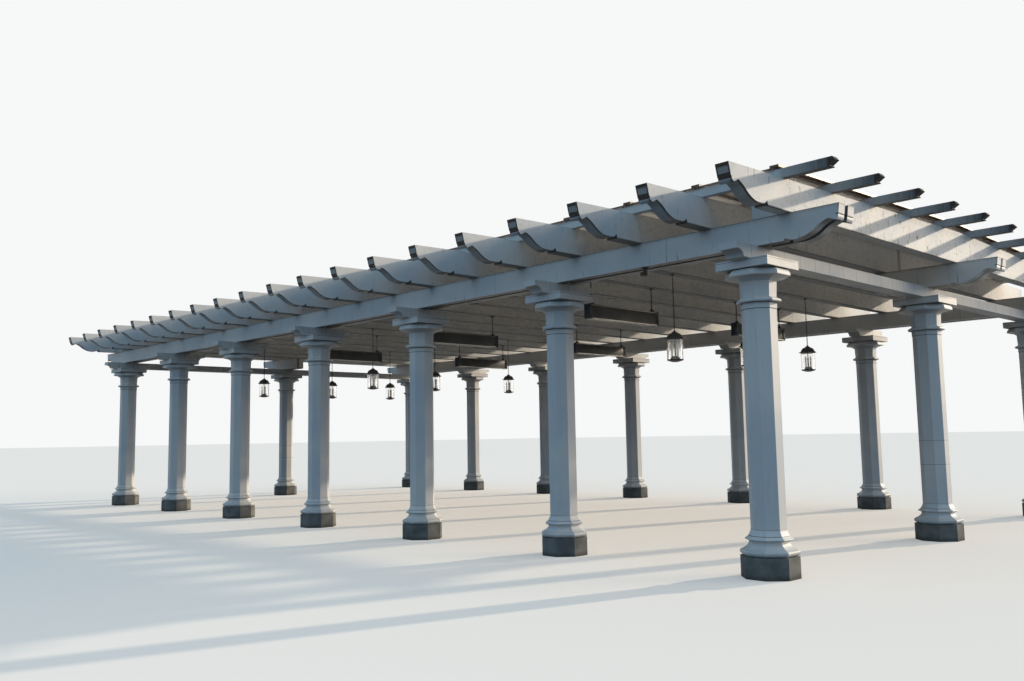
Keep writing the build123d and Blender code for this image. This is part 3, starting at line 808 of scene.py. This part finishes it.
# Candle sleeves are ivory card-like plastic with small clear bulbs over them. Both are drawn in the
# ivory.
ivory = mottled("Ivory candle sleeve", 0.55, 0.5, 60.0, ("#EFE9DA", "#DDD4BE"),
                spread=(0.4, 0.7), detail=3.0)
CANDLES, CANDLE_CIRCLE = 3, 0.042
CANDLE_SECTION = [(0.0, 0.020), (0.012, 0.020), (0.012, 0.130), (0.009, 0.133), (0.010, 0.140),
                  (0.015, 0.160), (0.011, 0.185), (0.004, 0.205), (0.0, 0.214)]
shape = bmesh.new()
for candle in range(CANDLES):
    turn = 2 * math.pi * candle / CANDLES
    spun(shape, CANDLE_SECTION, 12,
         (CANDLE_CIRCLE * math.cos(turn), CANDLE_CIRCLE * math.sin(turn), GLASS_BOTTOM))
repeat(shape, lantern_places)
finish("lantern_candles", shape, ivory, smooth=40)

# The candles stand on a raised black plate.
PLATE_SECTION = [(0.0, 0.0), (0.062, 0.0), (0.058, 0.020), (0.046, 0.040), (0.0, 0.040)]
lantern_piece("lantern_candle_plates", PLATE_SECTION, GLASS_BOTTOM, black_steel, 35,
              steps=20)

# Welded links of bent wire, each turned a quarter from the one below and drawn out so
# that it reaches through its neighbours.
CHAIN_TOP, PAIRS, LINK_WIDTH, WIRE = BEAM_TOP - 0.012, 11, 0.021, 0.0034
pitch = (CHAIN_TOP - CAP_TOP) / (2 * PAIRS)
ring_radius = LINK_WIDTH / 2 - WIRE
ring = [(ring_radius + WIRE * math.cos(math.radians(turn)), WIRE * math.sin(math.radians(turn)))
        for turn in range(0, 361, 72)]
shape = bmesh.new()
for step in range(2):
    present = set(shape.verts)
    spun(shape, ring, 10)
    link = [vert for vert in shape.verts if vert not in present]
    bmesh.ops.rotate(shape, verts=link, matrix=Matrix.Rotation(math.radians(90), 3, "X"))
    bmesh.ops.scale(shape, verts=link, vec=(1.0, 1.0, (pitch + 3.2 * WIRE) / LINK_WIDTH))
    bmesh.ops.rotate(shape, verts=link, matrix=Matrix.Rotation(math.radians(90 * step), 3, "Z"))
    bmesh.ops.translate(shape, verts=link, vec=(0.0, 0.0, CAP_TOP + (step + 0.5) * pitch))
repeat(shape, [(0.0, 0.0, 2 * pitch * pair) for pair in range(PAIRS)])
repeat(shape, lantern_places)
chains = finish("lantern_chains", shape, black_steel, smooth=60)
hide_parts("lantern_rods")

# A small rose covers each chain's hook under its rafter.
ROSE_SECTION = [(0.0, -0.020), (0.010, -0.020), (0.030, -0.010), (0.034, 0.0), (0.0, 0.0)]
lantern_piece("lantern_roses", ROSE_SECTION, BEAM_TOP, black_steel, 35, steps=16)


# Beam hook: one black steel screw hook for a lamp, under the front beam by the first
# inner column. A square shank on a small plate turns up again into a blunt nose.

HOOK_PLACE = (6.79, -4.1, BEAM_BOTTOM)
# Two corners each of the plate, the shank, the foot and the nose.
HOOK = [((-0.030, -0.030, -0.008), (0.030, 0.030, 0.0)),
        ((-0.022, -0.018, -0.102), (0.022, 0.018, -0.006)),
        ((-0.022, -0.060, -0.102), (0.022, -0.016, -0.084)),
        ((-0.022, -0.060, -0.086), (0.022, -0.044, -0.058))]
shape = bmesh.new()
for corner, opposite in HOOK:
    box(shape, corner, opposite)
soften(shape, 0.003, 1)
repeat(shape, [HOOK_PLACE])
finish("beam_hook", shape, black_steel)


# Floor, light and camera: only the stage. The floor is plain and pale, the surround is
# plain white, and a low warm light from behind meets a cool overall one.

def seen_directly(owner):
    """1 for what the camera sees, also through glass or in gloss; 0 for light that spreads."""
    rays = add(owner, "LightPath", {}, {}).outputs
    direct = add(owner, "Math", LARGER, {0: rays["Is Camera Ray"], 1: rays["Is Transmission Ray"]}, 0)
    return add(owner, "Math", LARGER, {0: direct, 1: rays["Is Glossy Ray"]}, 0)


mesh = bpy.data.meshes.new("floor")
shape = bmesh.new()
bmesh.ops.create_grid(shape, x_segments=1, y_segments=1, size=400.0)
shape.to_mesh(mesh)
shape.free()
floor = bpy.data.objects.new("floor", mesh)
bpy.context.scene.collection.objects.link(floor)

# The camera sees the floor pale, while it throws only a little light back up.
floor_paint = new_material("Pale floor", 0.9)
dim = add(floor_paint, "BsdfDiffuse", {}, {"Color": linear("#353B41")}, 0)
pale = add(floor_paint, "BsdfDiffuse", {}, {"Color": linear("#D9D2C8")}, 0)
glow = add(floor_paint, "Emission", {}, {"Color": linear("#F4F3F0"), "Strength": 0.30}, 0)
lifted = add(floor_paint, "AddShader", {}, {0: pale, 1: glow}, 0)
seen = add(floor_paint, "MixShader", {}, {0: seen_directly(floor_paint), 1: dim, 2: lifted}, 0)
output = floor_paint.node_tree.nodes["Material Output"]
floor_paint.node_tree.links.new(seen, output.inputs["Surface"])
floor.data.materials.append(floor_paint)

# A cool overall light, and a plain white surround for the camera and for glass.
world = bpy.data.worlds.new("Studio")
bpy.context.scene.world = world
world.use_nodes = True
sky = world.node_tree.nodes["Background"]
sky.inputs["Color"].default_value = linear("#9FC2DF")
sky.inputs["Strength"].default_value = 0.84
surround = add(world, "Background", {}, {"Color": linear("#F7F8F8"), "Strength": 1.0}, 0)
seen = add(world, "MixShader", {},
           {0: seen_directly(world), 1: sky.outputs["Background"], 2: surround}, 0)
world.node_tree.links.new(seen, world.node_tree.nodes["World Output"].inputs["Surface"])

# The key light comes from behind and to the right, low. A broader one softens it.
LAMPS = [("key", 3.35, 1.5, (1.0, 3.65, 1.15), "#FFEED6"),
         ("soft_key", 1.26, 28.0, (1.0, 1.15, 0.37), "#FFE6C8")]
for name, strength, spread, towards, colour in LAMPS:
    lamp = bpy.data.lights.new(name, "SUN")
    lamp.energy = strength
    lamp.angle = math.radians(spread)
    lamp.color = linear(colour)[:3]
    sun = bpy.data.objects.new(name, lamp)
    sun.rotation_euler = Vector(towards).to_track_quat("Z", "Y").to_euler()
    bpy.context.scene.collection.objects.link(sun)

# The camera stands at eye height off the near corner, as in the photograph.
PLACE = (12.8513, -11.8722, 1.3781)
YAW, PITCH, ROLL = math.radians(46.467), math.radians(6.0265), math.radians(-0.965)
lens = bpy.data.cameras.new("camera")
lens.sensor_width = 36.0
lens.lens = 31.935
lens.clip_end = 900.0
camera = bpy.data.objects.new("camera", lens)
bpy.context.scene.collection.objects.link(camera)
ahead = Vector((-math.sin(YAW) * math.cos(PITCH), math.cos(YAW) * math.cos(PITCH), math.sin(PITCH)))
level = Vector((math.cos(YAW), math.sin(YAW), 0.0))
upright = level.cross(ahead)
right = level * math.cos(ROLL) + upright * math.sin(ROLL)
up = upright * math.cos(ROLL) - level * math.sin(ROLL)
camera.matrix_world = Matrix.Translation(PLACE) @ Matrix((right, up, -ahead)).transposed().to_4x4()
bpy.context.scene.camera = camera
bpy.context.scene.view_settings.view_transform = "Standard"
